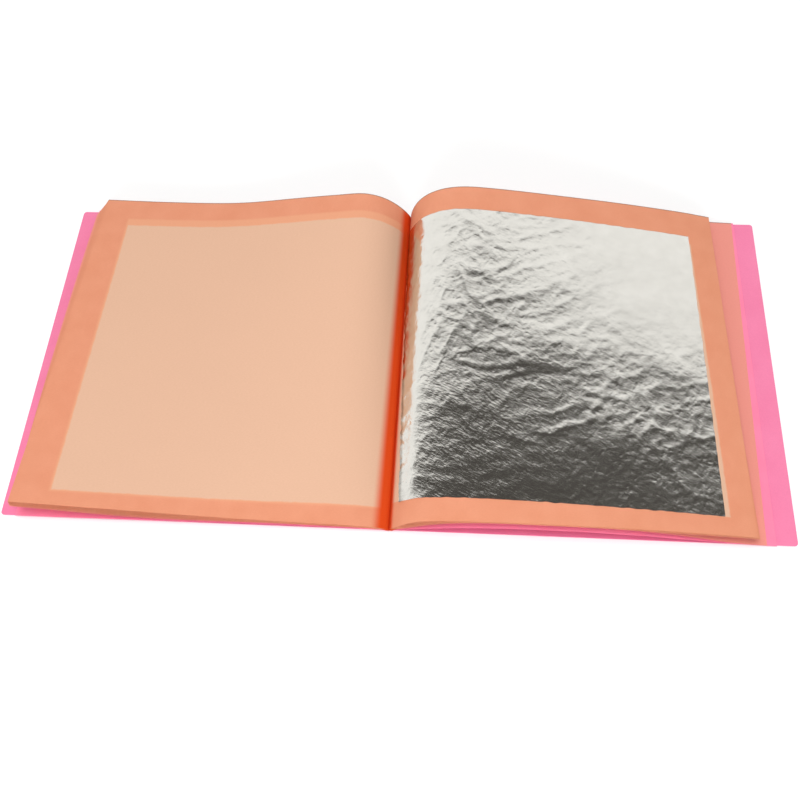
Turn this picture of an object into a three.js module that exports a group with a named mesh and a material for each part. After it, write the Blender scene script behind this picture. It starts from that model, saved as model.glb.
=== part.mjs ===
// Silver leaf booklet, lying open near its middle.
// A folded paper cover holds a glued block: an end sheet at each side, tissue pages between them,
// and one square of beaten silver leaf lying loose on each tissue but the last.
// Millimetres, +Z up. The origin is on the table, under the middle of the fold.
// X runs from the front half, on the left, to the back half, and Y along the fold to the head.
import * as THREE from "three";

// Block
const LEAF_COUNT = 25; // squares of silver in the booklet
const LEAVES_TURNED = 12; // of them, those in the front half
const LEAF_SIDE = 140;
const LEAF_STOCK = 0.02;
const LEAF_REST = 0.015; // air under a leaf on its tissue
const GUTTER_MARGIN = 4; // along the page, from the glue to the leaf
const FORE_MARGIN = 13.5; // from the leaf to the fore-edge of the page
const HEAD_MARGIN = 15;
const TAIL_MARGIN = 11;
const TISSUE_STOCK = 0.04;
const END_SHEET_STOCK = 0.1;

// Cover
const COVER_LIP = 7.5; // how far the cover reaches past a page laid flat
const COVER_SHY = 0.5; // how far it stops short of the pages at head and tail
const COVER_STOCK = 0.3;
const COVER_CORNER = 1.4; // radius of the trimmed outer corners
const CREASE_GAP = 0.1; // between the spine and each cover, where the sheet is creased
const GLUE_FILM = 0.25;
const GLUE_EDGE = 0.05; // from the edge of the spine to the glue
const GLUE_SIDE = 0.05; // from the end sheet to the edge of the glue
const GLUE_END = 1.5; // from the end of the spine to the glue

// Roots of the sheets on the glue
const GUTTER_HALF = 0.04; // from the middle of the fold to the first tissue
const ROOT_AIR = 0.048; // between two tissues on the glue
const END_STEP = 0.7; // extra room at the end sheet, which is thicker, in steps of one tissue

// Facets
const ROOT_ROW = 1.4; // length of the first facet, which stands on the glue
const CURVE_STEPS = 12; // facets along a leaf
const CURVE_GROWTH = 1.14; // each facet's length against the one before it, from the fold outwards
const CURVE_SAMPLES = 160; // points that a page curve is measured on
const REACH_TRIALS = 30; // halvings in the search for a curve of the right length
const CORNER_SEGMENTS = 5;

// How the open sheets stand. Each edge line leaves the glue upright, turns over a shoulder to its
// crest and runs out to the fore-edge. Rise, shoulder, run and pull are the handles of the two
// curves that meet at the crest. They, the crest's place and the edge's height above an end sheet
// that lies on the cover are in hundredths of the page's width, and tilts in degrees above the table.
// Stack is the thickness, in the same hundredths, that the loose tissues keep at the fore-edge, and
// lying counts those that stay on the end sheet.
const BACK_HALF = {
  side: 1,
  lying: 1,
  head: {
    stack: 1.27,
    top: {
      rise: 1.59, shoulder: 16.19, crest: [17.78, 14.83], tilt: 0,
      run: 9.08, edge: 2.95, edgeTilt: -18, pull: 11.43,
    },
    low: {
      rise: 1.33, shoulder: 19.05, crest: [31.75, 7.02], tilt: 0,
      run: 31.75, edge: 0.1, edgeTilt: 0, pull: 15.87,
    },
  },
  tail: {
    stack: 1.4,
    top: {
      rise: 1.4, shoulder: 3.56, crest: [9.02, 7.33], tilt: 11.8,
      run: 19.37, edge: 4.98, edgeTilt: -9.3, pull: 10.03,
    },
    low: {
      rise: 1.33, shoulder: 20.32, crest: [36.19, 6.7], tilt: 0,
      run: 31.75, edge: 0.1, edgeTilt: 0, pull: 13.97,
    },
  },
};
const FRONT_HALF = {
  side: -1,
  lying: 0,
  head: {
    stack: 2.54,
    top: {
      rise: 0.63, shoulder: 10.73, crest: [16.63, 10.83], tilt: -7.2,
      run: 41.27, edge: 5.94, edgeTilt: 2.1, pull: 50.79,
    },
    low: {
      rise: 0.63, shoulder: 9.52, crest: [17.78, 4.86], tilt: 0,
      run: 25.4, edge: 0.35, edgeTilt: 0, pull: 38.1,
    },
  },
  tail: {
    stack: 3.81,
    top: {
      rise: 2.03, shoulder: 17.78, crest: [24.13, 3.59], tilt: 2.8,
      run: 29.59, edge: 9.87, edgeTilt: 5.2, pull: 30.16,
    },
    low: {
      rise: 0.76, shoulder: 21.59, crest: [27.94, 1.87], tilt: 1.5,
      run: 12.7, edge: 0.35, edgeTilt: 0, pull: 25.4,
    },
  },
};
const PARTING = 60; // along the sheet, from the glue to where lying and loose tissues part
const LYING_PITCH = 0.16; // between sheets that lie together at the fore-edge

// Colours
const PINK = new THREE.MeshStandardMaterial({ color: 0xf989ae, roughness: 0.75, side: THREE.DoubleSide });
const ORANGE = new THREE.MeshStandardMaterial({ color: 0xec9d7a, roughness: 0.85, side: THREE.DoubleSide });
const SILVER = new THREE.MeshStandardMaterial({ color: 0xc9c7be, roughness: 0.25, metalness: 1 });
const GLUE = new THREE.MeshStandardMaterial({ color: 0xe9dfc8, roughness: 0.5 });

const PAGE_WIDTH = GUTTER_MARGIN + LEAF_SIDE + FORE_MARGIN;
const PAGE_HEIGHT = TAIL_MARGIN + LEAF_SIDE + HEAD_MARGIN;
const COVER_REACH = PAGE_WIDTH + COVER_LIP; // from the middle of the fold to the fore-edge
const COVER_HEIGHT = PAGE_HEIGHT - 2 * COVER_SHY;
const TISSUE_COUNT = LEAF_COUNT + 1;
const TISSUES_TURNED = LEAVES_TURNED + 1;
const TISSUES_RESTING = TISSUE_COUNT - TISSUES_TURNED;
const HALF_STEPS = Math.max(TISSUES_TURNED, TISSUES_RESTING) + END_STEP;
const END_ROOT = GUTTER_HALF + HALF_STEPS * (TISSUE_STOCK + ROOT_AIR);
const GLUE_WIDTH = 2 * END_ROOT + END_SHEET_STOCK + 2 * GLUE_SIDE;
const SPINE_WIDTH = GLUE_WIDTH + 2 * GLUE_EDGE;
const GLUE_TOP = COVER_STOCK + GLUE_FILM;
const LYING_HEIGHT = COVER_STOCK + END_SHEET_STOCK / 2;
const HUNDREDTH = PAGE_WIDTH / 100;
const PAGE_TAIL = -PAGE_HEIGHT / 2;
const PAGE_HEAD = PAGE_HEIGHT / 2;
const LEAF_BACK = PAGE_HEAD - HEAD_MARGIN;
const LEAF_FRONT = LEAF_BACK - LEAF_SIDE;

const booklet = new THREE.Group();

// Arc lengths at which every sheet has a row of vertices, so that stacked sheets facet alike.
// Rows stand close together over the shoulder and further apart towards the fore-edge.
function rowLengths() {
  const rows = [0, ROOT_ROW];
  const whole = CURVE_GROWTH ** CURVE_STEPS - 1;
  for (let step = 0; step <= CURVE_STEPS; step += 1) {
    const share = (CURVE_GROWTH ** step - 1) / whole;
    rows.push(GUTTER_MARGIN + LEAF_SIDE * share);
  }
  rows.push(PAGE_WIDTH);
  return rows;
}

const ROWS = rowLengths();
const FIRST_LEAF_ROW = 2;
const LAST_LEAF_ROW = FIRST_LEAF_ROW + CURVE_STEPS;

function direction(degrees) {
  const angle = THREE.MathUtils.degToRad(degrees);
  return new THREE.Vector2(Math.cos(angle), Math.sin(angle));
}

// An edge line as two Bezier curves, from its root to the fore-edge at the given reach.
function bentCurve(shape, rootX, reach) {
  const [crestX, crestHeight] = shape.crest;
  const root = new THREE.Vector2(rootX, GLUE_TOP);
  const crest = new THREE.Vector2(crestX * HUNDREDTH, LYING_HEIGHT + crestHeight * HUNDREDTH);
  const edge = new THREE.Vector2(reach, LYING_HEIGHT + shape.edge * HUNDREDTH);
  const along = direction(shape.tilt);
  const path = new THREE.CurvePath();
  path.add(new THREE.CubicBezierCurve(
    root,
    new THREE.Vector2(root.x, root.y + shape.rise * HUNDREDTH),
    crest.clone().addScaledVector(along, -shape.shoulder * HUNDREDTH),
    crest,
  ));
  path.add(new THREE.CubicBezierCurve(
    crest,
    crest.clone().addScaledVector(along, shape.run * HUNDREDTH),
    edge.clone().addScaledVector(direction(shape.edgeTilt), -shape.pull * HUNDREDTH),
    edge,
  ));
  path.curves.forEach((curve) => {
    curve.arcLengthDivisions = CURVE_SAMPLES;
  });
  return path;
}

// A sheet keeps its width however it bends, so the reach is found that gives the page's length.
function edgeLine(shape, rootX) {
  let near = shape.crest[0] * HUNDREDTH;
  let far = rootX + PAGE_WIDTH;
  for (let trial = 0; trial < REACH_TRIALS; trial += 1) {
    const middle = (near + far) / 2;
    if (bentCurve(shape, rootX, middle).getLength() < PAGE_WIDTH) {
      near = middle;
    } else {
      far = middle;
    }
  }
  const path = bentCurve(shape, rootX, far);
  return ROWS.map((length) => path.getPointAt(length / PAGE_WIDTH));
}

// The direction square to a line at each of its rows, up being positive. At the glue it is level,
// so that the root of a sheet ends flat on the glue.
function normals(line) {
  return line.map((point, row) => {
    if (row === 0) {
      return new THREE.Vector2(-1, 0);
    }
    const before = line[row - 1];
    const after = line[Math.min(row + 1, line.length - 1)];
    return new THREE.Vector2(before.y - after.y, after.x - before.x).normalize();
  });
}

function offsetLine(line, distance) {
  const across = normals(line);
  return line.map((point, row) => point.clone().addScaledVector(across[row], distance));
}

// The lines that bound a half's sheets at its head or its tail.
function boundingLines(end) {
  const top = edgeLine(end.top, GUTTER_HALF);
  const low = edgeLine(end.low, END_ROOT);
  const stack = end.stack * HUNDREDTH;
  return { stack, top, low, aboveTop: normals(top), aboveLow: normals(low) };
}

// Share of the way from the end sheet, level 0, to the top tissue, where the sheets are evenly spaced.
function evenShare(level, topLevel) {
  return level === 0 ? 0 : (level + END_STEP) / (topLevel + END_STEP);
}

// The line of one sheet of a half. Beyond the parting it gathers to the sheets that lie on the
// cover, or to the loose ones under the top tissue.
function sheetLine(half, bounds, level, topLevel) {
  const even = evenShare(level, topLevel);
  const lies = level <= half.lying;
  return ROWS.map((length, row) => {
    const parted = THREE.MathUtils.smoothstep(length, PARTING, PAGE_WIDTH);
    const share = THREE.MathUtils.lerp(even, lies ? 0 : 1, parted);
    const point = bounds.low[row].clone().lerp(bounds.top[row], share);
    if (lies) {
      return point.addScaledVector(bounds.aboveLow[row], level * LYING_PITCH * parted);
    }
    return point.addScaledVector(bounds.aboveTop[row], (even - 1) * bounds.stack * parted);
  });
}

// Stations along the fold, each a line in its own plane, between the tail line and the head line.
function stations(tail, head, depths) {
  return depths.map((y) => {
    const share = (y - PAGE_TAIL) / PAGE_HEIGHT;
    return { y, line: tail.map((point, row) => point.clone().lerp(head[row], share)) };
  });
}

// A closed thin solid between two families of lines, the upper and lower face of a sheet.
function sheetSolid(side, upper, lower) {
  const rowCount = upper[0].line.length;
  const count = upper.length;
  const positions = [];
  const index = [];
  [upper, lower].forEach((face) => {
    face.forEach((station) => {
      station.line.forEach((point) => positions.push(side * point.x, station.y, point.y));
    });
  });
  const vertex = (face, station, row) => (face * count + station) * rowCount + row;
  const quad = (a, b, c, d) => {
    if (side > 0) {
      index.push(a, b, c, a, c, d);
    } else {
      index.push(a, c, b, a, d, c);
    }
  };
  for (let station = 0; station < count - 1; station += 1) {
    for (let row = 0; row < rowCount - 1; row += 1) {
      quad(vertex(0, station, row), vertex(0, station, row + 1),
        vertex(0, station + 1, row + 1), vertex(0, station + 1, row));
      quad(vertex(1, station, row), vertex(1, station + 1, row),
        vertex(1, station + 1, row + 1), vertex(1, station, row + 1));
    }
    const last = rowCount - 1;
    quad(vertex(0, station, 0), vertex(0, station + 1, 0),
      vertex(1, station + 1, 0), vertex(1, station, 0));
    quad(vertex(0, station, last), vertex(1, station, last),
      vertex(1, station + 1, last), vertex(0, station + 1, last));
  }
  const head = count - 1;
  for (let row = 0; row < rowCount - 1; row += 1) {
    quad(vertex(0, 0, row), vertex(1, 0, row), vertex(1, 0, row + 1), vertex(0, 0, row + 1));
    quad(vertex(0, head, row), vertex(0, head, row + 1),
      vertex(1, head, row + 1), vertex(1, head, row));
  }
  const geometry = new THREE.BufferGeometry();
  geometry.setAttribute("position", new THREE.Float32BufferAttribute(positions, 3));
  geometry.setIndex(index);
  geometry.computeVertexNormals();
  return geometry;
}

function addPiece(name, geometry, material) {
  const mesh = new THREE.Mesh(geometry, material);
  mesh.name = name;
  booklet.add(mesh);
  return mesh;
}

function numbered(name, number) {
  return `${name}_${String(number).padStart(2, "0")}`;
}

// A sheet of the block, the whole page wide and high, and centred on its lines.
function addSheet(name, half, tail, head, stock, material) {
  const depths = [PAGE_TAIL, LEAF_FRONT, LEAF_BACK, PAGE_HEAD];
  const upper = stations(offsetLine(tail, stock / 2), offsetLine(head, stock / 2), depths);
  const lower = stations(offsetLine(tail, -stock / 2), offsetLine(head, -stock / 2), depths);
  addPiece(name, sheetSolid(half.side, upper, lower), material);
}

// A leaf lies on its tissue, on rows and stations that the tissue has too.
function addLeaf(name, half, tail, head) {
  const under = TISSUE_STOCK / 2 + LEAF_REST;
  const depths = [LEAF_FRONT, LEAF_BACK];
  const covered = (line) => line.slice(FIRST_LEAF_ROW, LAST_LEAF_ROW + 1);
  const face = (height) => stations(
    covered(offsetLine(tail, height)),
    covered(offsetLine(head, height)),
    depths,
  );
  addPiece(name, sheetSolid(half.side, face(under + LEAF_STOCK), face(under)), SILVER);
}

// One half of the open block: its end sheet, then its tissues from the cover up, each with the leaf
// that lies on it. tissueAt and leafAt give the numbers of a level, and leafAt null where none lies.
function addHalfBlock(half, endName, topLevel, tissueAt, leafAt) {
  const tailBounds = boundingLines(half.tail);
  const headBounds = boundingLines(half.head);
  for (let level = 0; level <= topLevel; level += 1) {
    const tail = sheetLine(half, tailBounds, level, topLevel);
    const head = sheetLine(half, headBounds, level, topLevel);
    if (level === 0) {
      addSheet(endName, half, tail, head, END_SHEET_STOCK, PINK);
    } else {
      addSheet(numbered("tissue", tissueAt(level)), half, tail, head, TISSUE_STOCK, ORANGE);
      if (leafAt(level) !== null) {
        addLeaf(numbered("leaf", leafAt(level)), half, tail, head);
      }
    }
  }
}

// One panel of the cover sheet, flat on the table, from the crease to the fore-edge.
function coverPanel(side) {
  const inner = SPINE_WIDTH / 2 + CREASE_GAP;
  const halfHeight = COVER_HEIGHT / 2;
  const shape = new THREE.Shape();
  shape.moveTo(inner, -halfHeight);
  shape.lineTo(COVER_REACH - COVER_CORNER, -halfHeight);
  shape.absarc(COVER_REACH - COVER_CORNER, COVER_CORNER - halfHeight, COVER_CORNER, -Math.PI / 2, 0);
  shape.lineTo(COVER_REACH, halfHeight - COVER_CORNER);
  shape.absarc(COVER_REACH - COVER_CORNER, halfHeight - COVER_CORNER, COVER_CORNER, 0, Math.PI / 2);
  shape.lineTo(inner, halfHeight);
  shape.closePath();
  const geometry = new THREE.ExtrudeGeometry(shape, {
    depth: COVER_STOCK,
    bevelEnabled: false,
    curveSegments: CORNER_SEGMENTS,
  });
  if (side < 0) {
    geometry.rotateZ(Math.PI);
  }
  return geometry;
}

// A flat strip along the fold, standing on the given height.
function foldStrip(width, length, stock, bottom) {
  const geometry = new THREE.BoxGeometry(width, length, stock);
  geometry.translate(0, 0, bottom + stock / 2);
  return geometry;
}

addPiece("front_cover", coverPanel(-1), PINK);
addPiece("back_cover", coverPanel(1), PINK);
addPiece("spine", foldStrip(SPINE_WIDTH, COVER_HEIGHT, COVER_STOCK, 0), PINK);
addPiece(
  "spine_glue",
  foldStrip(GLUE_WIDTH, COVER_HEIGHT - 2 * GLUE_END, GLUE_FILM, COVER_STOCK),
  GLUE,
);

addHalfBlock(
  FRONT_HALF,
  "front_end_sheet",
  TISSUES_TURNED,
  (level) => level,
  (level) => (level < TISSUES_TURNED ? level : null),
);
addHalfBlock(
  BACK_HALF,
  "back_end_sheet",
  TISSUES_RESTING,
  (level) => TISSUE_COUNT + 1 - level,
  (level) => TISSUE_COUNT - level,
);

export default booklet;
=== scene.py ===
# %% [markdown]
# # An open booklet of silver leaf
# The real object is a booklet of thin orange tissue pages glued into a folded pink cover,
# with a square of beaten silver leaf lying loose between each two pages. It lies open near
# its middle, and the newest silver square shows on the right-hand page. The solid model
# already has every sheet in its place, so this lesson only refines what the eye sees:
# smooth page curves, the crinkles of the leaf, and the finish of each paper.

# %% Load the solid model
import math

import bpy
import numpy as np
from mathutils import Matrix, Vector, noise


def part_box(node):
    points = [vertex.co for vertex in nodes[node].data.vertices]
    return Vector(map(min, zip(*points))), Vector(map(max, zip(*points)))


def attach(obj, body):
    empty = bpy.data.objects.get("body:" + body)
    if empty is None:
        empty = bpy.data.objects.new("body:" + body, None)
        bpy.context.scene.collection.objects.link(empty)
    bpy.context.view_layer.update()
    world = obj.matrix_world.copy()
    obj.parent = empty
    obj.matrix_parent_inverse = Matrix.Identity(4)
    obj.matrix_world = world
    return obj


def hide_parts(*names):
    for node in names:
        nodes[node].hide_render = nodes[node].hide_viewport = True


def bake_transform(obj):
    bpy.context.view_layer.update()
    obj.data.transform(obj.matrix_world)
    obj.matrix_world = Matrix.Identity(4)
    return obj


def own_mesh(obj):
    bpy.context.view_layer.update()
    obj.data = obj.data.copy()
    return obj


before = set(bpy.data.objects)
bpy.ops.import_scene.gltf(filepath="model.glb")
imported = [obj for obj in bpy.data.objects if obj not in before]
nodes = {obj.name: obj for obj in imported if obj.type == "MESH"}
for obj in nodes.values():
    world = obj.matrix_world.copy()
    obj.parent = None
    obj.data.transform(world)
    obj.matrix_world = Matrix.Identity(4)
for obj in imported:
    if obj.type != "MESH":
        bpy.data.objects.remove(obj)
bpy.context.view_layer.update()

# %% [markdown]
# ## Camera
# The photograph looks down at the booklet from the front, about 60 degrees above the table,
# and the picture is turned by a few degrees. A camera could be aimed by hand, but its place
# was worked out from the corners of the cover, so it is set from those numbers: the point it
# looks at, how far off it is, and three angles.

# %% Aim the camera
AIM = Vector((0.000791, -0.020605, 0.0))
DISTANCE = 0.44318
AZIMUTH, ELEVATION, ROLL = map(math.radians, (7.598, 60.210, -4.806))

back = Vector(
    (
        math.sin(AZIMUTH) * math.cos(ELEVATION),
        -math.cos(AZIMUTH) * math.cos(ELEVATION),
        math.sin(ELEVATION),
    )
)
level = (-back).cross(Vector((0, 0, 1))).normalized()
raised = level.cross(-back)
across = math.cos(ROLL) * level + math.sin(ROLL) * raised
upward = -math.sin(ROLL) * level + math.cos(ROLL) * raised
turn = Matrix((across, upward, back)).transposed().to_euler()
bpy.ops.object.camera_add(location=AIM + back * DISTANCE, rotation=turn)
camera = bpy.context.object
camera.data.lens = 45.0
camera.data.sensor_width = 36.0
camera.data.clip_start = 0.01
bpy.context.scene.camera = camera
print("camera at", [round(v, 4) for v in camera.location])

# %% [markdown]
# ## Helpers for working as by hand
# Each solid arrives as loose triangles and must stay as it is. To refine a sheet, the solid
# is duplicated, its doubled corners are merged and its triangles joined to quads, so that the
# copy is a clean grid of sixteen rows by four lines, which edit mode can work on. The solid
# also carries the shading of its facets, which is cleared, or it would show on every curve.


# %% Select, duplicate and clean
def pick(piece):
    """Leaves one object selected and active, in object mode."""
    if bpy.context.object and bpy.context.object.mode != "OBJECT":
        bpy.ops.object.mode_set(mode="OBJECT")
    bpy.ops.object.select_all(action="DESELECT")
    piece.select_set(True)
    bpy.context.view_layer.objects.active = piece


def select_only(piece, kind, wanted):
    """Selects the edges or faces that wanted() accepts, and stays in edit mode."""
    bpy.ops.object.mode_set(mode="EDIT")
    bpy.ops.mesh.select_mode(type=kind)
    bpy.ops.mesh.select_all(action="DESELECT")
    bpy.ops.object.mode_set(mode="OBJECT")
    mesh = piece.data
    found = 0
    for part in mesh.edges if kind == "EDGE" else mesh.polygons:
        part.select = bool(wanted(part, mesh.vertices))
        found += part.select
    bpy.ops.object.mode_set(mode="EDIT")
    return found


def copy_solid(node, name):
    """A clean quad copy of a solid, under its own name."""
    pick(nodes[node])
    bpy.ops.object.duplicate()
    piece = bpy.context.object
    piece.name = piece.data.name = name
    piece.parent = None
    for key in [k for k in piece.keys() if k.startswith("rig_")]:
        del piece[key]
    piece.data.materials.clear()
    bpy.ops.object.mode_set(mode="EDIT")
    bpy.ops.mesh.select_all(action="SELECT")
    bpy.ops.mesh.remove_doubles(threshold=2e-6)
    limit = math.radians(70)
    bpy.ops.mesh.tris_convert_to_quads(face_threshold=limit, shape_threshold=limit)
    bpy.ops.object.mode_set(mode="OBJECT")
    bpy.ops.mesh.customdata_custom_splitnormals_clear()
    return piece


# %% [markdown]
# ## From solid to sheet
# A sheet of paper is one surface with an even thickness. Only the upper faces of the copy are
# kept. They get a flat map, in metres along the page and along the fold, so that patterns
# follow the paper as it bends. Then the sheet is cut finer, and its points are laid on smooth
# curves through the corners of the solid. A Subdivision Surface would pull the curves inwards
# and the sheets into each other; a curve through the same corners keeps each in its place.


# %% Peel and map
def keep_upper(piece, side):
    """Keeps the upper faces; side is 1 for the right-hand pages and -1 for the left."""
    toward = Vector((-0.7 * side, 0.0, 0.7))
    select_only(piece, "FACE", lambda f, v: f.normal.dot(toward) < 0.2)
    bpy.ops.mesh.delete(type="FACE")
    bpy.ops.object.mode_set(mode="OBJECT")


def map_flat(piece):
    """Maps each point to its length from the glue and its place along the fold.

    Returns the lines of the sheet: {place along the fold: [(length, x, z), ...]}."""
    mesh = piece.data
    lines, place = {}, {}
    for v in mesh.vertices:
        lines.setdefault(round(v.co.y, 5), []).append(v)
    for y, line in lines.items():
        line.sort(key=lambda v: abs(v.co.x))
        run, knots = 0.0, []
        for before, v in zip([line[0], *line], line):
            run += (v.co - before.co).length
            place[v.index] = (run, y)
            knots.append((run, v.co.x, v.co.z))
        lines[y] = np.array(knots)
    layer = mesh.uv_layers.new(name="sheet")
    for loop in mesh.loops:
        layer.data[loop.index].uv = place[loop.vertex_index]
    return lines


def flat_places(piece):
    """The place of each point on the flat map, as two columns."""
    mesh = piece.data
    uvs = np.empty(len(mesh.loops) * 2)
    owners = np.empty(len(mesh.loops), int)
    mesh.uv_layers["sheet"].data.foreach_get("uv", uvs)
    mesh.loops.foreach_get("vertex_index", owners)
    places = np.zeros((len(mesh.vertices), 2))
    places[owners] = uvs.reshape(-1, 2)
    return places


# %% Cut finer
def fold_span(edge, verts):
    """How far an edge runs along the fold."""
    return abs(verts[edge.vertices[0]].co.y - verts[edge.vertices[1]].co.y)


def cut_finer(piece, bends, middle, margin):
    """Cuts the sheet across its bends, then its middle and its margins along the fold."""
    for cuts, low, high in ((bends, -1.0, 1e-6), (middle, 0.05, 1.0), (margin, 0.0102, 0.05)):
        if cuts and select_only(piece, "EDGE", lambda e, v: low < fold_span(e, v) <= high):
            bpy.ops.mesh.subdivide(number_cuts=cuts, smoothness=0.0)
    bpy.ops.object.mode_set(mode="OBJECT")


# %% Lay on smooth curves
def smooth_curve(knots, values, at):
    """A natural cubic curve through values at knots, read at many places."""
    gap, count = np.diff(knots), len(knots)
    slope = np.diff(values) / gap
    system, right = np.eye(count), np.zeros(count)
    for i in range(1, count - 1):
        system[i, i - 1 : i + 2] = gap[i - 1], 2 * (gap[i - 1] + gap[i]), gap[i]
        right[i] = 6 * (slope[i] - slope[i - 1])
    bend = np.linalg.solve(system, right)
    i = np.clip(np.searchsorted(knots, at) - 1, 0, count - 2)
    past, left = at - knots[i], knots[i + 1] - at
    curved = (bend[i] * left**3 + bend[i + 1] * past**3) / (6 * gap[i])
    first = (values[i] / gap[i] - bend[i] * gap[i] / 6) * left
    second = (values[i + 1] / gap[i] - bend[i + 1] * gap[i] / 6) * past
    return curved + first + second


def page_points(lines, places):
    """The points in space of many places on a sheet's flat map."""
    folds = sorted(lines)
    points = np.zeros((len(places), 3))
    points[:, 1] = places[:, 1]
    strip = np.clip(np.searchsorted(folds, places[:, 1]) - 1, 0, len(folds) - 2)
    for k in range(len(folds) - 1):
        here = strip == k
        along = places[here, 0]
        share = (places[here, 1] - folds[k]) / (folds[k + 1] - folds[k])
        for fold, weight in ((folds[k], 1 - share), (folds[k + 1], share)):
            length, x, z = lines[fold].T
            points[here, 0] += weight * smooth_curve(length, x, along)
            points[here, 2] += weight * smooth_curve(length, z, along)
    return points


def lay(piece, lines, places, height, cling=None):
    """Lays the points of a sheet on its curves and ripples it; height is its share of the stack."""
    points = page_points(lines, places)
    share = np.full(len(places), height)
    if cling:
        share = draw_up(points, height, *cling)
    points[:, 2] += [ripple(along, fold, part) for (along, fold), part in zip(places, share)]
    piece.data.vertices.foreach_set("co", points.ravel())
    piece.data.update()


def to_triangles(piece):
    """Splits all faces the same way on each sheet, so that a leaf fits its tissue."""
    pick(piece)
    bpy.ops.object.mode_set(mode="EDIT")
    bpy.ops.mesh.select_all(action="SELECT")
    bpy.ops.mesh.quads_convert_to_tris(quad_method="FIXED", ngon_method="BEAUTY")
    bpy.ops.object.mode_set(mode="OBJECT")


def add_stock(piece, thickness):
    """Gives the sheet its thickness downwards and shades it smooth."""
    to_triangles(piece)
    stock = piece.modifiers.new("stock", "SOLIDIFY")
    stock.thickness = thickness
    stock.offset = -1.0
    bpy.ops.object.modifier_apply(modifier=stock.name)
    bpy.ops.object.shade_smooth_by_angle(angle=math.radians(40))


# %% [markdown]
# ## Sheets that cling
# In the solid model the humped sheets of the right-hand stack lie some way apart. On the real
# booklet they cling together under the top page, and the pink end sheet shows below them.
# So where neighbours lie far apart, each sheet is drawn up towards the one on top.

# %% Draw a sheet up
CLOSE = 0.00011  # how near each other clinging sheets lie, across their faces
SLACK = 0.10  # the share of any wider gap that is left
NEAR_GLUE, NEAR_EDGE = 0.010, 0.138  # before and beyond these the sheets stay as they are
GLUE_FADE, EDGE_FADE = 0.030, 0.045  # the lengths over which the drawing up begins and ends
EASE = 0.6  # how much sooner than evenly it begins
FULL_RIPPLE = 0.0001  # a sheet drawn up by this much takes all of the top sheet's ripple


def top_profile(top_lines):
    """Dense x, z and slope of the top sheet on each line along the fold."""
    far = np.linspace(0.0, 0.168, 500)
    made = {}
    for fold, line in top_lines.items():
        length, x, z = line.T
        xs, zs = smooth_curve(length, x, far), smooth_curve(length, z, far)
        made[fold] = (xs, zs, np.gradient(zs, xs))
    return made


def draw_up(points, height, profile, below):
    """Draws a sheet that is so many below the top one towards it; returns its share of the ripple."""
    folds = sorted(profile)
    strip = np.clip(np.searchsorted(folds, points[:, 1]) - 1, 0, len(folds) - 2)
    top, slope = np.zeros(len(points)), np.zeros(len(points))
    for k in range(len(folds) - 1):
        here = strip == k
        share = (points[here, 1] - folds[k]) / (folds[k + 1] - folds[k])
        for fold, weight in ((folds[k], 1 - share), (folds[k + 1], share)):
            xs, zs, steep = profile[fold]
            top[here] += weight * np.interp(points[here, 0], xs, zs)
            slope[here] += weight * np.interp(points[here, 0], xs, steep)
    lean = 1 / np.sqrt(1 + slope**2)
    apart = (top - points[:, 2]) / below * lean
    wide = np.maximum(0.0, apart - CLOSE)
    begun = np.clip((points[:, 0] - NEAR_GLUE) / GLUE_FADE, 0.0, 1.0)
    wide *= begun * (1 + EASE - EASE * begun)
    wide *= np.clip((NEAR_EDGE - points[:, 0]) / EDGE_FADE, 0.0, 1.0)
    points[:, 2] += below * wide * (1 - SLACK) / lean
    return height + (1 - height) * np.clip(wide / FULL_RIPPLE, 0.0, 1.0)


# %% [markdown]
# ## Building materials from nodes
# Every finish here is a small tree of procedural nodes on one Principled shader. Patterns on
# the sheets read the flat map, in metres, so a noise scale of 1000 gives marks of a
# millimetre. Two helpers keep the trees short to write and to read.


# %% Node helpers
def start_material(name, roughness):
    """A new material; returns it with its tree and its Principled shader."""
    material = bpy.data.materials.new(name)
    material.use_nodes = True
    tree = material.node_tree
    shader = tree.nodes["Principled BSDF"]
    shader.inputs["Roughness"].default_value = roughness
    return material, tree, shader


def node(tree, kind, links=(), **settings):
    """Adds a node, sets its properties and input values, and joins its inputs."""
    made = tree.nodes.new(kind)
    for key, value in settings.items():
        if hasattr(made, key):
            setattr(made, key, value)
        else:
            made.inputs[key.replace("_", " ")].default_value = value
    for socket, source in dict(links).items():
        tree.links.new(source, made.inputs[socket])
    return made


def ramp(tree, value, stops):
    """A colour ramp over a value; stops are (place, colour)."""
    made = node(tree, "ShaderNodeValToRGB", {0: value})
    elements = made.color_ramp.elements
    while len(elements) < len(stops):
        elements.new(0.5)
    for element, (place, colour) in zip(elements, stops):
        element.position = place
        element.color = (*colour, 1.0)
    return made.outputs["Color"]


def flat_map(tree, stretch=(1.0, 1.0, 1.0), turn_by=0.0, shift=(0.0, 0.0, 0.0)):
    """The flat map of a sheet, stretched, turned or moved."""
    read = node(tree, "ShaderNodeUVMap", uv_map="sheet")
    placed = node(tree, "ShaderNodeMapping", {"Vector": read.outputs["UV"]})
    placed.inputs["Scale"].default_value = stretch
    placed.inputs["Rotation"].default_value = (0.0, 0.0, turn_by)
    placed.inputs["Location"].default_value = shift
    return placed.outputs["Vector"]


def maths(tree, operation, *values):
    """A Math node over numbers and other outputs."""
    made = tree.nodes.new("ShaderNodeMath")
    made.operation = operation
    for socket, value in zip(made.inputs, values):
        if isinstance(value, (int, float)):
            socket.default_value = value
        else:
            tree.links.new(value, socket)
    return made.outputs[0]


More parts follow.
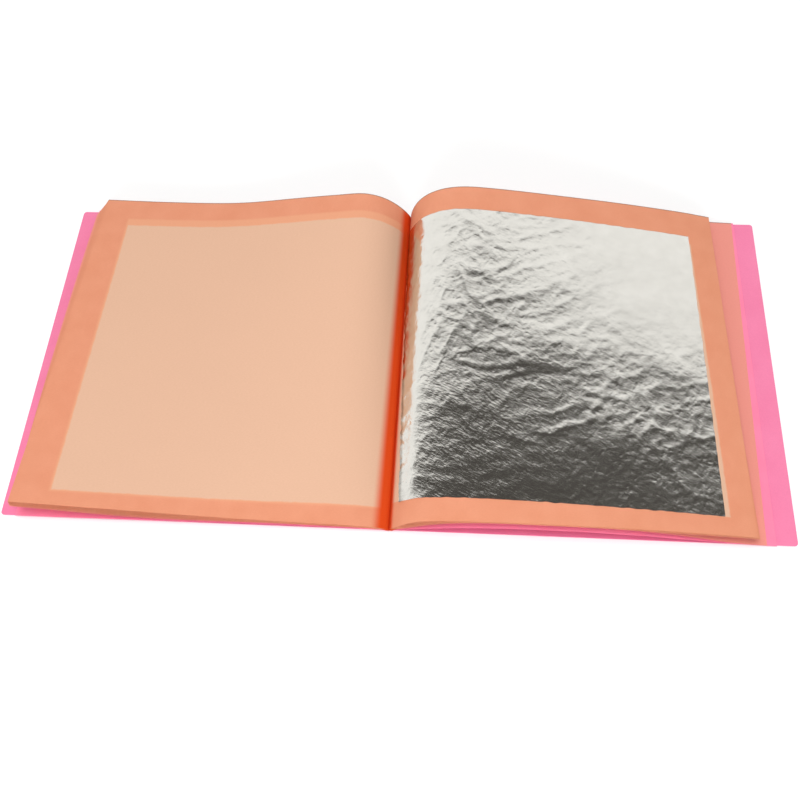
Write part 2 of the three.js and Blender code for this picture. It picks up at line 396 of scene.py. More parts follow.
def blend_colours(tree, amount, first, second, mode="MIX"):
    """The second colour over the first, by an amount."""
    made = tree.nodes.new("ShaderNodeMix")
    made.data_type = "RGBA"
    made.blend_type = mode
    for socket, value in ((made.inputs[0], amount), (made.inputs[6], first), (made.inputs[7], second)):
        if isinstance(value, (int, float)):
            socket.default_value = value
        elif isinstance(value, tuple):
            socket.default_value = (*value, 1.0)
        else:
            tree.links.new(value, socket)
    return made.outputs[2]


# %% [markdown]
# ## Orange tissue
# The pages are soft orange tissue. Where a silver square lies under a page, it throws light
# back through the thin sheet, and the page shows a paler square. That could be left to the
# light alone, but many layers of see-through paper are slow and grainy, so the square is
# drawn in the page's own colour, from the flat map. Around it the sheet is cloudy, as tissue
# is, with short fibres along the page. A little light passes through the sheet. Near the glue
# a deep red is painted in: painted shade of the gutter crease, red where the orange pages light each other.


# %% Tissue material
def square_mask(tree, box, soft, turn_by=0.0, rough=0.0):
    """1 inside a square of the flat map, 0 outside, with an edge soft metres wide."""
    place = flat_map(tree, turn_by=turn_by)
    if rough:
        ragged = node(tree, "ShaderNodeTexNoise", {"Vector": place}, Scale=260.0, Detail=3.0)
        centred = node(tree, "ShaderNodeVectorMath", {0: ragged.outputs["Color"]}, operation="SUBTRACT")
        centred.inputs[1].default_value = (0.5, 0.5, 0.5)
        scaled = node(tree, "ShaderNodeVectorMath", {0: centred.outputs[0]}, operation="SCALE")
        scaled.inputs["Scale"].default_value = rough
        moved = node(tree, "ShaderNodeVectorMath", {0: place, 1: scaled.outputs[0]}, operation="ADD")
        place = moved.outputs[0]
    axes = node(tree, "ShaderNodeSeparateXYZ", {0: place})
    inside = None
    for axis, low, high in (("X", box[0], box[1]), ("Y", box[2], box[3])):
        for edge, sign in ((low, 1.0), (high, -1.0)):
            past = maths(tree, "SUBTRACT", axes.outputs[axis], edge)
            share = maths(tree, "MULTIPLY", past, sign / soft)
            share = maths(tree, "ADD", share, 0.5)
            inside = share if inside is None else maths(tree, "MINIMUM", inside, share)
    made = node(tree, "ShaderNodeClamp", {0: inside})
    return made.outputs[0]


ORANGE = (0.830, 0.345, 0.206)
DEEP_ORANGE = (0.800, 0.318, 0.184)
PALE = (0.800, 0.500, 0.346)
BAND = (0.845, 0.392, 0.232)
# painted shade: the deep red of the gutter crease
PAINTED_GUTTER_SHADE = (0.760, 0.075, 0.010)
SALMON = (0.900, 0.335, 0.275)
RIM = (0.300, 0.185, 0.135)


def tissue_material(name, square, band=None, turn_by=0.0, salmon=0.0, glow=(0.0040, 0.0012)):
    """Orange tissue; salmon is how much of the pink below a page shows through it.

    glow says how far from the glue the painted shade of the gutter, a deep red, begins, and where it is
    full."""
    material, tree, shader = start_material(name, 0.85)
    clouds = node(tree, "ShaderNodeTexNoise", {"Vector": flat_map(tree)}, Scale=90.0, Detail=6.0)
    fibres = node(
        tree, "ShaderNodeTexNoise", {"Vector": flat_map(tree, (0.35, 1.0, 1.0))}, Scale=2600.0, Detail=4.0
    )
    paper = ramp(tree, clouds.outputs["Fac"], [(0.30, DEEP_ORANGE), (0.65, ORANGE)])
    if salmon:
        paper = blend_colours(tree, salmon, paper, SALMON)
    if band:
        paper = blend_colours(tree, square_mask(tree, band, 0.0012, turn_by), paper, BAND)
    pale = square_mask(tree, square, 0.0007, turn_by, 0.0008)
    colour = blend_colours(tree, pale, paper, PALE)
    axes = node(tree, "ShaderNodeSeparateXYZ", {0: flat_map(tree)})
    # painted shade: towards the glue the colour turns to the deep red of the crease
    gutter_shade_reach = node(
        tree, "ShaderNodeMapRange", {"Value": axes.outputs["X"]}, interpolation_type="SMOOTHSTEP"
    )
    gutter_shade_reach.inputs["From Min"].default_value = glow[0]
    gutter_shade_reach.inputs["From Max"].default_value = glow[1]
    colour = blend_colours(tree, gutter_shade_reach.outputs["Result"], colour, PAINTED_GUTTER_SHADE)
    # a darker brown along the back edge of each page
    rim = node(tree, "ShaderNodeMapRange", {"Value": axes.outputs["Y"]})
    rim.inputs["From Min"].default_value = 0.0824
    rim.inputs["From Max"].default_value = 0.0829
    colour = blend_colours(tree, rim.outputs["Result"], colour, RIM)
    grain = ramp(tree, fibres.outputs["Fac"], [(0.25, (0.95, 0.94, 0.93)), (0.75, (1.0, 1.0, 1.0))])
    colour = blend_colours(tree, 1.0, colour, grain, "MULTIPLY")
    tree.links.new(colour, shader.inputs["Base Color"])
    soft = node(tree, "ShaderNodeBump", {"Height": fibres.outputs["Fac"]}, Distance=0.00006, Strength=0.5)
    wavy = node(
        tree,
        "ShaderNodeBump",
        {"Height": clouds.outputs["Fac"], "Normal": soft.outputs[0]},
        Distance=0.0006,
        Strength=0.3,
    )
    tree.links.new(wavy.outputs[0], shader.inputs["Normal"])
    shader.inputs["Specular IOR Level"].default_value = 0.25
    through = node(tree, "ShaderNodeBsdfTranslucent", {"Color": colour, "Normal": wavy.outputs[0]})
    both = node(
        tree, "ShaderNodeMixShader", {1: shader.outputs[0], 2: through.outputs[0]}
    )
    both.inputs[0].default_value = 0.12
    tree.links.new(both.outputs[0], tree.nodes["Material Output"].inputs["Surface"])
    return material


LEAF_SQUARE = (0.004, 0.144, -0.072, 0.068)  # on the flat map: along the page, then the fold
LEFT_TURN, RIGHT_TURN = math.radians(0.9), math.radians(1.4)
tissue = tissue_material("orange tissue", LEAF_SQUARE)
tissue_near_cover = [
    tissue_material(f"orange tissue over pink {step}", LEAF_SQUARE, salmon=share)
    for step, share in ((1, 1.0), (2, 0.85), (3, 0.6), (4, 0.35))
]
tissue_left = tissue_material(
    "orange tissue, left page",
    (0.0035, 0.1425, -0.0738, 0.0694),
    (0.0035, 0.1433, -0.0745, 0.0735),
    LEFT_TURN,
    glow=(0.0088, 0.0042),
)
tissue_right = tissue_material(
    "orange tissue, right page", (0.0015, 0.1434, -0.0715, 0.0672), turn_by=RIGHT_TURN
)
print("tissue materials:", tissue.name, "/", tissue_left.name, "/", tissue_right.name)

# %% [markdown]
# ## Beaten silver
# Beaten leaf is so thin that it takes every crease of handling and keeps it. It is bright
# metal with hardly any colour. Fine crinkles cover it like scales, longer wrinkles run
# across, and a fine grain from the beating dulls the reflection. The crinkles are made twice:
# the large ones as real relief in the mesh below, the small ones here as bump.


# %% Silver material
def silver_material(name):
    """Beaten leaf: calm at the far right, brushed in front where it was handled."""
    material, tree, shader = start_material(name, 0.2)
    shader.inputs["Metallic"].default_value = 1.0
    place = flat_map(tree)
    stir = node(tree, "ShaderNodeTexNoise", {"Vector": place}, Scale=140.0, Detail=3.0)
    pushed = node(tree, "ShaderNodeVectorMath", {0: stir.outputs["Color"]}, operation="SCALE")
    pushed.inputs["Scale"].default_value = 0.006
    bent = node(tree, "ShaderNodeVectorMath", {0: place, 1: pushed.outputs[0]}, operation="ADD")
    scales = node(
        tree, "ShaderNodeTexVoronoi", {"Vector": bent.outputs[0]}, feature="SMOOTH_F1", Scale=420.0
    )
    creases = node(
        tree,
        "ShaderNodeTexNoise",
        {"Vector": bent.outputs[0]},
        noise_type="RIDGED_MULTIFRACTAL",
        Scale=150.0,
        Detail=5.0,
    )
    slant = node(tree, "ShaderNodeMapping", {"Vector": place}, vector_type="TEXTURE")
    slant.inputs["Rotation"].default_value = (0.0, 0.0, math.radians(-28))
    slant.inputs["Scale"].default_value = (3.0, 1.0, 1.0)
    strokes = node(tree, "ShaderNodeTexNoise", {"Vector": slant.outputs[0]}, Scale=1100.0, Detail=3.0)
    grain = node(tree, "ShaderNodeTexNoise", {"Vector": place}, Scale=3600.0, Detail=2.0)
    axes = node(tree, "ShaderNodeSeparateXYZ", {0: place})

    def slide(value, low, high):
        made = node(tree, "ShaderNodeMapRange", {"Value": value}, interpolation_type="SMOOTHSTEP")
        made.inputs["From Min"].default_value = low
        made.inputs["From Max"].default_value = high
        return made.outputs["Result"]

    along, fold = axes.outputs["X"], axes.outputs["Y"]
    calm = maths(tree, "MULTIPLY", slide(along, 0.05, 0.12), slide(fold, -0.03, 0.03))
    lively = maths(tree, "SUBTRACT", 1.0, maths(tree, "MULTIPLY", calm, 0.85))
    handled = maths(tree, "MULTIPLY", slide(fold, 0.0, -0.035), slide(along, 0.09, 0.03))
    pressed = maths(tree, "MULTIPLY_ADD", handled, 2.0, 0.7)
    scratched = maths(tree, "MULTIPLY", strokes.outputs["Fac"], pressed)
    # painted shade: a dark ragged line along the leaf's edge by the gutter, where the curled edge mirrors
    # the dark
    painted_edge_shade = maths(tree, "MULTIPLY", slide(along, 0.0054, 0.0042), stir.outputs["Fac"])
    shades = ramp(
        tree, stir.outputs["Fac"], [(0.25, (0.775, 0.755, 0.700)), (0.75, (0.830, 0.810, 0.755))]
    )
    shades = blend_colours(tree, painted_edge_shade, shades, (0.16, 0.13, 0.10))
    tree.links.new(shades, shader.inputs["Base Color"])
    rough = node(tree, "ShaderNodeMapRange", {"Value": grain.outputs["Fac"]})
    rough.inputs["To Min"].default_value = 0.10
    rough.inputs["To Max"].default_value = 0.20
    tree.links.new(rough.outputs[0], shader.inputs["Roughness"])
    bumps = None
    for height, distance, strength in (
        (grain.outputs["Fac"], 0.000014, 1.0),
        (scratched, 0.00004, 0.9),
        (scales.outputs["Distance"], 0.0001, 0.8),
        (creases.outputs["Fac"], 0.00008, 0.8),
    ):
        links = {"Height": maths(tree, "MULTIPLY", height, lively)}
        if bumps:
            links["Normal"] = bumps.outputs[0]
        bumps = node(tree, "ShaderNodeBump", links, Distance=distance, Strength=strength)
    tree.links.new(bumps.outputs[0], shader.inputs["Normal"])
    return material


silver = silver_material("beaten silver")

# %% [markdown]
# ## Pink cover paper and the thinner end sheets
# The cover is one sheet of smooth pink paper, creased twice. The end sheets are the same pink
# on thinner stock. Both are matt, with a faint mottling and fibres that only show close up.


# %% Pink paper materials
def pink_material(name, light, dark, place_of, roughness):
    """Smooth pink paper, mottled between two tones; place_of gives what its patterns follow."""
    material, tree, shader = start_material(name, roughness)
    mottle = node(tree, "ShaderNodeTexNoise", {"Vector": place_of(tree)}, Scale=70.0, Detail=6.0)
    fibre = node(tree, "ShaderNodeTexNoise", {"Vector": place_of(tree)}, Scale=1900.0, Detail=5.0)
    colour = ramp(tree, mottle.outputs["Fac"], [(0.3, dark), (0.7, light)])
    speck = ramp(tree, fibre.outputs["Fac"], [(0.25, (0.95, 0.94, 0.95)), (0.7, (1.0, 1.0, 1.0))])
    colour = blend_colours(tree, 1.0, colour, speck, "MULTIPLY")
    tree.links.new(colour, shader.inputs["Base Color"])
    rough = node(tree, "ShaderNodeMapRange", {"Value": mottle.outputs["Fac"]})
    rough.inputs["To Min"].default_value = roughness - 0.06
    rough.inputs["To Max"].default_value = roughness + 0.06
    tree.links.new(rough.outputs[0], shader.inputs["Roughness"])
    relief = node(tree, "ShaderNodeBump", {"Height": fibre.outputs["Fac"]}, Distance=0.00004, Strength=0.5)
    tree.links.new(relief.outputs[0], shader.inputs["Normal"])
    shader.inputs["Specular IOR Level"].default_value = 0.3
    return material


def own_place(tree):
    """The place on the piece itself, in metres."""
    return node(tree, "ShaderNodeTexCoord").outputs["Object"]


cover_pink = pink_material("pink cover paper", (0.880, 0.238, 0.408), (0.855, 0.213, 0.378), own_place, 0.6)
end_pink = pink_material("pink end paper", (1.000, 0.255, 0.410), (0.970, 0.230, 0.380), flat_map, 0.7)
print("pink papers:", cover_pink.name, "/", end_pink.name)

# %% [markdown]
# ## Dried glue
# A film of binder's glue holds all the sheets to the spine. Dried, it is cream, stained by the
# dye of the tissues in its middle, a little shiny and uneven, with low lumps where the brush
# went.


# %% Glue material
def glue_material(name):
    """Cream glue with a red stain along its middle."""
    material, tree, shader = start_material(name, 0.4)
    lumps = node(tree, "ShaderNodeTexNoise", {"Vector": own_place(tree)}, Scale=420.0, Detail=4.0)
    colour = ramp(tree, lumps.outputs["Fac"], [(0.3, (0.74, 0.62, 0.42)), (0.7, (0.84, 0.75, 0.58))])
    axes = node(tree, "ShaderNodeSeparateXYZ", {0: own_place(tree)})
    stain = node(tree, "ShaderNodeMapRange", {"Value": maths(tree, "ABSOLUTE", axes.outputs["X"])})
    stain.inputs["From Min"].default_value = 0.0013
    stain.inputs["From Max"].default_value = 0.0006
    colour = blend_colours(tree, stain.outputs[0], colour, (0.420, 0.050, 0.012))
    tree.links.new(colour, shader.inputs["Base Color"])
    relief = node(tree, "ShaderNodeBump", {"Height": lumps.outputs["Fac"]}, Distance=0.0002, Strength=0.6)
    tree.links.new(relief.outputs[0], shader.inputs["Normal"])
    return material


glue = glue_material("dried glue")

# %% [markdown]
# ## Cover, spine and glue
# These solids are flat panels, and their shape is right as it is. They keep it and only get
# their finish, on their own material slots.

# %% Finish the panels
for name, finish in (
    ("front_cover", cover_pink),
    ("back_cover", cover_pink),
    ("spine", cover_pink),
    ("spine_glue", glue),
):
    for slot in nodes[name].material_slots:
        slot.material = finish
    print(name, "now has", finish.name)

# %% [markdown]
# ## The two creases
# On the real cover one sheet runs across the spine, and it bends along two scored lines. The
# solid model has a narrow slit there, so that its panels can turn. A strip of the same paper
# closes each slit. It is an added cube, scaled to the slit and cut across into narrow facets.

# %% Crease strips
spine_low, spine_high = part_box("spine")
slit = (spine_high.x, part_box("back_cover")[0].x)
print("slit", [round(v * 1000, 3) for v in slit], "mm")
for side, name, panel in ((1, "back_crease_strip", "back_half"), (-1, "front_crease_strip", "front_half")):
    inner, outer = slit[0] - 0.00005, slit[1] + 0.00005
    bpy.ops.object.select_all(action="DESELECT")
    bpy.ops.mesh.primitive_cube_add(size=1.0, location=(side * (inner + outer) / 2, 0.0, 0.00015))
    strip = bpy.context.object
    strip.name = strip.data.name = name
    strip.scale = (outer - inner, spine_high.y - spine_low.y - 0.0001, 0.00028)
    bpy.ops.object.transform_apply(location=True, rotation=True, scale=True)
    select_only(strip, "EDGE", lambda e, v: abs(v[e.vertices[0]].co.x - v[e.vertices[1]].co.x) > 1e-5)
    bpy.ops.mesh.subdivide(number_cuts=7)
    bpy.ops.object.mode_set(mode="OBJECT")
    strip.data.materials.append(cover_pink)
    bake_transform(strip)
    print(name, len(strip.data.polygons), "faces")

# %% [markdown]
# ## How the pages are shaped
# Tissue never lies quite flat. A slow ripple is laid over each stack: nothing at the glue,
# more towards the free edges, and the same for all sheets of a stack but weaker lower down,
# so the sheets stay apart. It only presses pages down, never up, and so the booklet keeps the
# size of the solid model.

# %% The ripple
RIPPLE = 0.0005
HELD, FREE_OVER = 0.012, 0.05  # the glue holds the page this far, and it is free so much further


def ripple(along, fold, height):
    """How far a page is pressed down at a place of its flat map, in metres."""
    free = min(1.0, max(0.0, (along - HELD) / FREE_OVER))
    slow = noise.noise(Vector((along * 16.0, fold * 14.0, 3.0)))
    quick = noise.noise(Vector((along * 38.0, fold * 45.0, 9.0)))
    return -(0.55 + 0.5 * slow + 0.3 * quick) * RIPPLE * free * height


# %% [markdown]
# ## The pages
# Twenty-six tissues are bound at the fold: thirteen lie to the left and thirteen to the
# right. Those inside a stack show only their edges, so they stay simple. The two on top are
# cut finer. Each is a copy of its solid, peeled, mapped, rounded, rippled and given its
# stock, and it turns with its own page.

# %% Make the tissues
TISSUES, LEFT_TOP = 26, 13
TISSUE_STOCK = 0.00004
stands_for = []
profile = {}


def page_of(number):
    """The body that a tissue turns with."""
    return f"page_{number:02d}"


HALF_FOLD = 0.083
SQUARE_TO = LEAF_SQUARE[1]  # up to the far edge of the leaf a page stays square
TOP_RIGHT_FRONT = 0.0058  # how much shorter than its solid a page is there
LOW_RIGHT_BACK, LOW_RIGHT_MORE = 0.0010, 0.0029  # behind, and how much more in front
LOW_LEFT_BACK, LOW_LEFT_MORE = -0.0053, 0.0047
CORNER_CUT, CORNER_FROM, CORNER_DEEP = 0.0030, 0.0760, 0.0070


def missing(places, lines, side, lift):
    """How much each place is moved in, as the pages are cut a little out of square."""
    folds = sorted(lines)
    reach = np.interp(places[:, 1], folds, [lines[fold][-1][0] for fold in folds])
    margin = np.clip((places[:, 0] - SQUARE_TO) / (reach - SQUARE_TO), 0.0, 1.0)
    front = (HALF_FOLD - places[:, 1]) / (2 * HALF_FOLD)
    if side > 0:
        top, low = TOP_RIGHT_FRONT * front, LOW_RIGHT_BACK + LOW_RIGHT_MORE * front
    else:
        corner = np.clip((places[:, 1] - CORNER_FROM) / CORNER_DEEP, 0.0, 1.0)
        top, low = 0.0, LOW_LEFT_MORE * front**2 + LOW_LEFT_BACK + CORNER_CUT * corner
    return margin * (lift * top + (1 - lift) * low)


def clings_to(number):
    """For a sheet under the right-hand top page: that page's profile, and how many sheets down it is."""
    below = number - LEFT_TOP - 1
    return (profile, below) if below > 0 else None


def make_tissue(number):
    """One page, from its solid; returns it with its side."""
    side = -1 if number <= LEFT_TOP else 1
    lift = (number if side < 0 else TISSUES + 1 - number) / LEFT_TOP
    top = number in (LEFT_TOP, LEFT_TOP + 1)
    piece = copy_solid(f"tissue_{number:02d}", f"tissue_sheet_{number:02d}")
    keep_upper(piece, side)
    lines = map_flat(piece)
    cut_finer(piece, 5 if top else 3, 27 if top else 9, 1)
    places = flat_places(piece)
    places[:, 0] -= missing(places, lines, side, lift)
    if number == LEFT_TOP + 1:
        profile.update(top_profile(lines))
    lay(piece, lines, places, lift, clings_to(number))
    add_stock(piece, TISSUE_STOCK)
    depth = min(number, TISSUES + 1 - number) - 1
    finish = {LEFT_TOP: tissue_left, LEFT_TOP + 1: tissue_right}.get(number, tissue)
    if depth < len(tissue_near_cover):
        finish = tissue_near_cover[depth]
    piece.data.materials.append(finish)
    stands_for.append((piece, f"tissue_{number:02d}"))
    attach(piece, page_of(number))
    return piece, side


sheets = [make_tissue(number) for number in range(1, TISSUES + 1)]
print(len(sheets), "tissues,", sum(len(p.data.polygons) for p, _ in sheets), "faces")

# %% [markdown]
# ## The end sheets
# Between the tissues and the cover lies a thin pink sheet on each side. It shows as a strip
# beyond the tissues. In front it sags a little below the humped stack, so that a band of
# light pink shows under the orange edge.

# %% Make the end sheets
COVER_TOP, END_STOCK = 0.0003, 0.0001
SAG, SAG_FROM = 0.30, 0.03  # the share of its height that it sags in front, and where that begins
REST_HEIGHT = COVER_TOP + 0.0006  # no place is let down below this
for name, side, body in (("back_end_sheet", 1, "back_block"), ("front_end_sheet", -1, "front_block")):
    piece = copy_solid(name, name.replace("sheet", "paper"))
    keep_upper(piece, side)
    lines = map_flat(piece)
    cut_finer(piece, 3, 13, 1)
    lay(piece, lines, flat_places(piece), 0.0)
    for v in piece.data.vertices:
        front = min(1.0, max(0.0, (SAG_FROM - v.co.y) / (SAG_FROM + HALF_FOLD)))
        v.co.z -= SAG * front * max(0.0, v.co.z - REST_HEIGHT)
    add_stock(piece, END_STOCK)
    piece.data.materials.append(end_pink)
    stands_for.append((piece, name))
    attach(piece, body)
    sheets.append((piece, side))
    print(piece.name, len(piece.data.polygons), "faces")

# %% [markdown]
# ## The hidden leaves
# Under each page lies another square of silver. Only their rims could ever be seen at rest,
# but they show when the pages fan out. A leaf lies close on its tissue and takes its bend, so
# it isn't rounded from its own solid, whose ends would bend a little less: the tissue's copy
# is rounded, cut down to the square of the leaf, and raised by the air and the stock.

# %% Make the hidden leaves
LEAVES, SHOWN_LEAF = 25, 13
LEAF_STOCK, LEAF_AIR = 0.00002, 0.000015
EDGE_SLACK = 0.0005  # faces that begin this close before the square still belong to it


def start_leaf(number, bends, middle):
    """A finely cut sheet of the leaf's size, still faceted, with its curves and its place."""
    side = -1 if number < SHOWN_LEAF else 1
    under = number if side < 0 else number + 1
    lift = (under if side < 0 else TISSUES + 1 - under) / LEFT_TOP
    piece = copy_solid(f"tissue_{under:02d}", f"silver_leaf_{number:02d}")
    keep_upper(piece, side)
    lines = map_flat(piece)
    cut_finer(piece, bends, middle, 1)
    to_triangles(piece)
    places = flat_places(piece)
    low, high, near, far = LEAF_SQUARE

    def outside(face, _):
        along, fold = places[list(face.vertices)].mean(axis=0)
        return not (low - EDGE_SLACK < along < high + EDGE_SLACK and near < fold < far)

    select_only(piece, "FACE", outside)
    bpy.ops.mesh.delete(type="FACE")
    bpy.ops.object.mode_set(mode="OBJECT")
    return piece, side, lines, lift, under


def raise_leaf(piece):
    """Lifts a laid leaf off its tissue by the air and its own stock."""
    pick(piece)
    bpy.ops.object.mode_set(mode="EDIT")
    bpy.ops.mesh.select_all(action="SELECT")
    bpy.ops.transform.shrink_fatten(value=LEAF_AIR + LEAF_STOCK)
    bpy.ops.object.mode_set(mode="OBJECT")


def finish_leaf(piece, number, body):
    """Gives a leaf its stock, its silver and its page."""
    add_stock(piece, LEAF_STOCK)
    piece.data.materials.append(silver)
    stands_for.append((piece, f"leaf_{number:02d}"))
    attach(piece, body)


for number in [n for n in range(1, LEAVES + 1) if n != SHOWN_LEAF]:
    piece, side, lines, lift, under = start_leaf(number, 3, 9)
    lay(piece, lines, flat_places(piece), lift, clings_to(under))
    raise_leaf(piece)
    finish_leaf(piece, number, page_of(under))
    sheets.append((piece, side))
print(len(sheets), "sheets so far")

# %% [markdown]
# ## The silver square on show
# This leaf is what the eye goes to. It is cut into a fine net of about a millimetre, and the
# larger wrinkles are pressed into it as a sculptor would, point by point in code: a brush of
# ridged noise, strong in the middle and towards the gutter, weak towards the far right
# corner, where the leaf lies smooth. Relief only rises from the page.


# %% Place the leaf on show
LEAF_CORNERS = {  # near the gutter and far from it, in front and at the back, on the flat map
    (0, 0): (0.0072, -0.0725),
    (1, 0): (0.1390, -0.0750),
    (0, 1): (0.0038, 0.0705),
    (1, 1): (0.1440, 0.0682),
}
GUTTER_RAG, EDGE_RAG = 0.0005, 0.0003  # how ragged its edges are


def leaf_place(places):
    """Moves places of the exact square to the slightly skewed and ragged leaf of the photograph."""
    low, high, near, far = LEAF_SQUARE
    across = (places[:, 0] - low) / (high - low)
    deep = (places[:, 1] - near) / (far - near)
    skewed = np.zeros_like(places)
    for (i, j), corner in LEAF_CORNERS.items():
        weight = (across if i else 1 - across) * (deep if j else 1 - deep)
        skewed += weight[:, None] * np.array(corner)
    for k, (p, q) in enumerate(zip(across, deep)):
        gutter_rag = noise.noise(Vector((0.0, q * 34.0, 4.0)))
        gutter_rag += 0.5 * noise.noise(Vector((0.0, q * 110.0, 8.0)))
        skewed[k, 0] += GUTTER_RAG * gutter_rag * max(0.0, 1 - p / 0.05)
        far_rag = noise.noise(Vector((0.0, q * 30.0, 14.0)))
        skewed[k, 0] += EDGE_RAG * far_rag * max(0.0, (p - 0.95) / 0.05)
        edge_rag = noise.noise(Vector((p * 40.0, 2.0, 24.0)))
        skewed[k, 1] += EDGE_RAG * edge_rag * max(0.0, abs(q - 0.5) * 20 - 9)
    return skewed


piece, side, lines, lift, under = start_leaf(SHOWN_LEAF, 15, 150)
leaf_map = flat_places(piece)
lay(piece, lines, leaf_place(leaf_map), lift)
raise_leaf(piece)
print(piece.name, len(piece.data.vertices), "points")


# %% Wrinkle the leaf
SWELLS = (  # place along the page and the fold, half widths, height, all in millimetres
    (70, -4, 22, 10, 0.26),
    (101, -42, 15, 11, 0.30),
    (131, -7, 10, 9, 0.22),
    (34, -24, 14, 9, 0.18),
)
CREASES = (  # width, height, then points along the crease, all in millimetres
    (0.9, 0.11, (22, -26), (32, -30), (41, -33), (50, -40), (60, -45), (68, -45), (74, -41), (88, -36),
     (99, -30)),
    (0.7, 0.10, (60, -44), (62, -51)),
    (0.7, 0.08, (31, -32), (38, -41), (46, -45)),
    (0.7, 0.05, (81, -59), (101, -59)),
    (0.7, 0.05, (73, -46), (86, -52)),
    (1.8, 0.10, (100, -8), (112, -32), (121, -47), (130, -61)),
    (1.4, 0.08, (102, -14), (109, -39)),
    (1.6, 0.10, (118, -32), (129, -63)),
)


FOLDS, HAIRS, DENTS, SMALL = 0.00013, 0.00006, 0.00010, 0.000014  # heights, in metres
CALM_SHARE, FRONT_SHARE = 0.85, 0.72  # how much of the relief is gone far right, and in front
CURL, CURL_FROM, CURL_WIDTH = 0.00045, 0.004, 0.005
OFF_THE_PAGE = 0.00005


def past_crease(along, fold, points):
    """The distance from a place to a crease, in millimetres."""
    here, nearest = Vector((along, fold)), 1e6
    for start, end in zip(points, points[1:]):
        start, run = Vector(start), Vector(end) - Vector(start)
        share = min(1.0, max(0.0, (here - start).dot(run) / run.length_squared))
        nearest = min(nearest, (here - start - share * run).length)
    return nearest


def crinkle(along, fold):
    """The height of the wrinkles at a place of the flat map, in metres."""
    sway = noise.noise(Vector((along * 22.0, fold * 22.0, 1.5))) * 0.012
    a, b = along + sway, fold + 0.6 * sway
    long_folds = 1.0 - abs(noise.noise(Vector((a * 55.0 + b * 60.0, b * 120.0 - a * 40.0, 5.0))))
    hairs = 1.0 - abs(noise.noise(Vector((a * 95.0 - b * 50.0, b * 210.0 + a * 60.0, 11.0))))
    dents = 0.5 - abs(noise.noise(Vector((a * 105.0, b * 200.0, 7.0))))
    small = noise.noise(Vector((a * 460.0, b * 620.0, 2.0)))
    calm = min(1.0, max(0.0, (along - 0.06) / 0.06)) * min(1.0, max(0.0, (fold + 0.03) / 0.05))
    front = min(1.0, max(0.0, (-0.034 - fold) / 0.02)) * min(1.0, max(0.0, (along - 0.045) / 0.03))
    relief = FOLDS * long_folds**6 + HAIRS * hairs**14 + DENTS * dents + SMALL * small
    relief *= 1.0 - CALM_SHARE * calm - FRONT_SHARE * front
    u, v = along * 1000 + sway * 150, fold * 1000 + sway * 250
    for place, depth, wide, deep, height in SWELLS:
        away = ((u - place) / wide) ** 2 + ((v - depth) / deep) ** 2
        relief += 0.001 * height * math.exp(-away)
    for width, height, *points in CREASES:
        relief += 0.001 * height * max(0.0, 1.0 - past_crease(u, v, points) / width) ** 1.5
    curl = CURL * max(0.0, 1.0 - (along - CURL_FROM) / CURL_WIDTH) ** 2
    return relief + curl * (0.6 + dents) + OFF_THE_PAGE


CLEAR_OF_GLUE = 0.0001  # the curled edge stays on its side of the fold, off the glue when closed
mesh = piece.data
rise = [v.normal * max(0.0, crinkle(*leaf_map[v.index])) for v in mesh.vertices]
for point, step in zip(mesh.vertices, rise):
    point.co += step
    point.co.x = max(point.co.x, CLEAR_OF_GLUE)
finish_leaf(piece, SHOWN_LEAF, page_of(under))
sheets.append((piece, side))
print(piece.name, len(piece.data.polygons), "faces")

# %% [markdown]
# ## Let the sheets stand for their solids
# A solid that a piece stands for is hidden, and a hidden solid can't be copied any more. So
# all of them are hidden here, after the last copy is made.

# %% Hide the solids behind their sheets
for piece, solid in stands_for:
    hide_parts(solid)
print(len(stands_for), "solids hidden")

# %% [markdown]
# ## Closing the booklet
# When a cover swings up, the real pages bend flat against it. A rigid page can't, and nothing
# here flattens it: each sheet only gets its own copy of its mesh.

# %% Give each sheet its own mesh
for piece, side in sheets:  # left and right pages alike
    if side > 0:
        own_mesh(piece)
    else:
        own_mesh(piece)
print(len(sheets), "sheets flatten with their covers")

# %% [markdown]
# ## Table, backdrop and light
# The booklet lies on a plain white table. Silver shows its surroundings, so these matter: the
# far side of the room is bright as a window wall, and so is a low band all round, but the
# ceiling and what is behind the camera are dim. The far part of the leaf mirrors the window
# and the near part the dim ceiling. A large soft lamp overhead lights the papers evenly, and
# a low one in front reaches under the humped pages. Neither shows in the silver, because
# their shapes would. Far off, the table fades to white, like the low band behind it. Above
# that band the camera sees white as well, but the silver mirrors the room.

# %% Table
bpy.ops.object.select_all(action="DESELECT")
TABLE_DROP = 0.0004  # it lies this much under the cover
FADE_FROM, FADE_TO = 0.30, 0.90  # how far off the table begins to fade, and is white
bpy.ops.mesh.primitive_plane_add(size=6.0, location=(0.0, 0.0, -TABLE_DROP))
table = bpy.context.object
table.name = "table_top"
top, tree, shader = start_material("white table", 0.9)
shader.inputs["Specular IOR Level"].default_value = 0.0
seen = node(tree, "ShaderNodeLightPath")
shown = maths(tree, "MAXIMUM", seen.outputs["Is Camera Ray"], seen.outputs["Is Glossy Ray"])
shown = maths(tree, "MAXIMUM", shown, seen.outputs["Is Transmission Ray"])
away = node(tree, "ShaderNodeVectorMath", {0: own_place(tree)}, operation="LENGTH")
far = node(tree, "ShaderNodeMapRange", {"Value": away.outputs["Value"]}, interpolation_type="SMOOTHSTEP")
far.inputs["From Min"].default_value = FADE_FROM
far.inputs["From Max"].default_value = FADE_TO
paint = blend_colours(tree, far.outputs["Result"], (0.9, 0.9, 0.9), (0.0, 0.0, 0.0))
tree.links.new(paint, shader.inputs["Base Color"])
glow = maths(tree, "MULTIPLY_ADD", far.outputs["Result"], 0.9, 0.12)
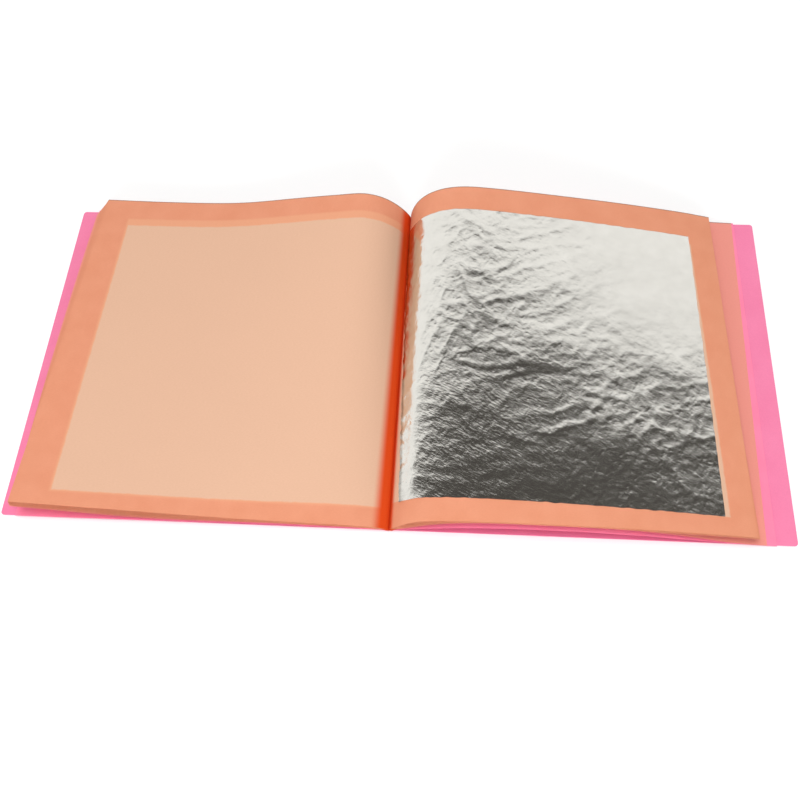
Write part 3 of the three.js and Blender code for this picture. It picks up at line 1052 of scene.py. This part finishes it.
shader.inputs["Emission Color"].default_value = (1.0, 1.0, 1.0, 1.0)
tree.links.new(maths(tree, "MULTIPLY", shown, glow), shader.inputs["Emission Strength"])
table.data.materials.append(top)

# %% World and lamps
scene = bpy.context.scene
world = bpy.data.worlds.new("studio")
scene.world = world
world.use_nodes = True
tree = world.node_tree
sky = tree.nodes["Background"]
look = node(tree, "ShaderNodeTexCoord")
axes = node(tree, "ShaderNodeSeparateXYZ", {0: look.outputs["Generated"]})


def step_up(value, low, high):
    """0 below low, 1 above high, and a soft step between."""
    made = node(tree, "ShaderNodeMapRange", {"Value": value}, interpolation_type="SMOOTHSTEP")
    made.inputs["From Min"].default_value = low
    made.inputs["From Max"].default_value = high
    return made.outputs["Result"]


ahead = maths(tree, "MULTIPLY_ADD", axes.outputs["X"], -0.1, axes.outputs["Y"])
window = step_up(ahead, 0.405, 0.535)
skirting = step_up(maths(tree, "MULTIPLY", axes.outputs["Z"], -1.0), -0.55, -0.25)
bright = maths(tree, "MAXIMUM", window, skirting)
walls = blend_colours(tree, bright, (0.075, 0.07, 0.065), (1.0, 1.0, 1.0))
seen = node(tree, "ShaderNodeLightPath")
colour = blend_colours(tree, seen.outputs["Is Camera Ray"], walls, (1.0, 1.0, 1.0))
tree.links.new(colour, sky.inputs["Color"])
sky.inputs["Strength"].default_value = 1.0

for name, shape, place, tilt, size, watts in (
    ("ceiling_lamp", "DISK", (-0.06, -0.25, 1.3), (11, -3, 0), 0.9, 13.0),
    ("front_fill", "SQUARE", (0.0, -1.3, 0.30), (77, 0, 0), 0.7, 14.0),
):
    bpy.ops.object.light_add(type="AREA", location=place, rotation=[math.radians(v) for v in tilt])
    lamp = bpy.context.object
    lamp.name = name
    lamp.data.shape, lamp.data.size, lamp.data.energy = shape, size, watts
    lamp.visible_glossy = False
    print(name, watts, "W")
scene.view_settings.view_transform = "Standard"

# %% [markdown]
# ## Last step
# The finished booklet is meant to be the size of its solid model; here the scene is only brought up to
# date.

# %% Bring the scene up to date
bpy.context.view_layer.update()
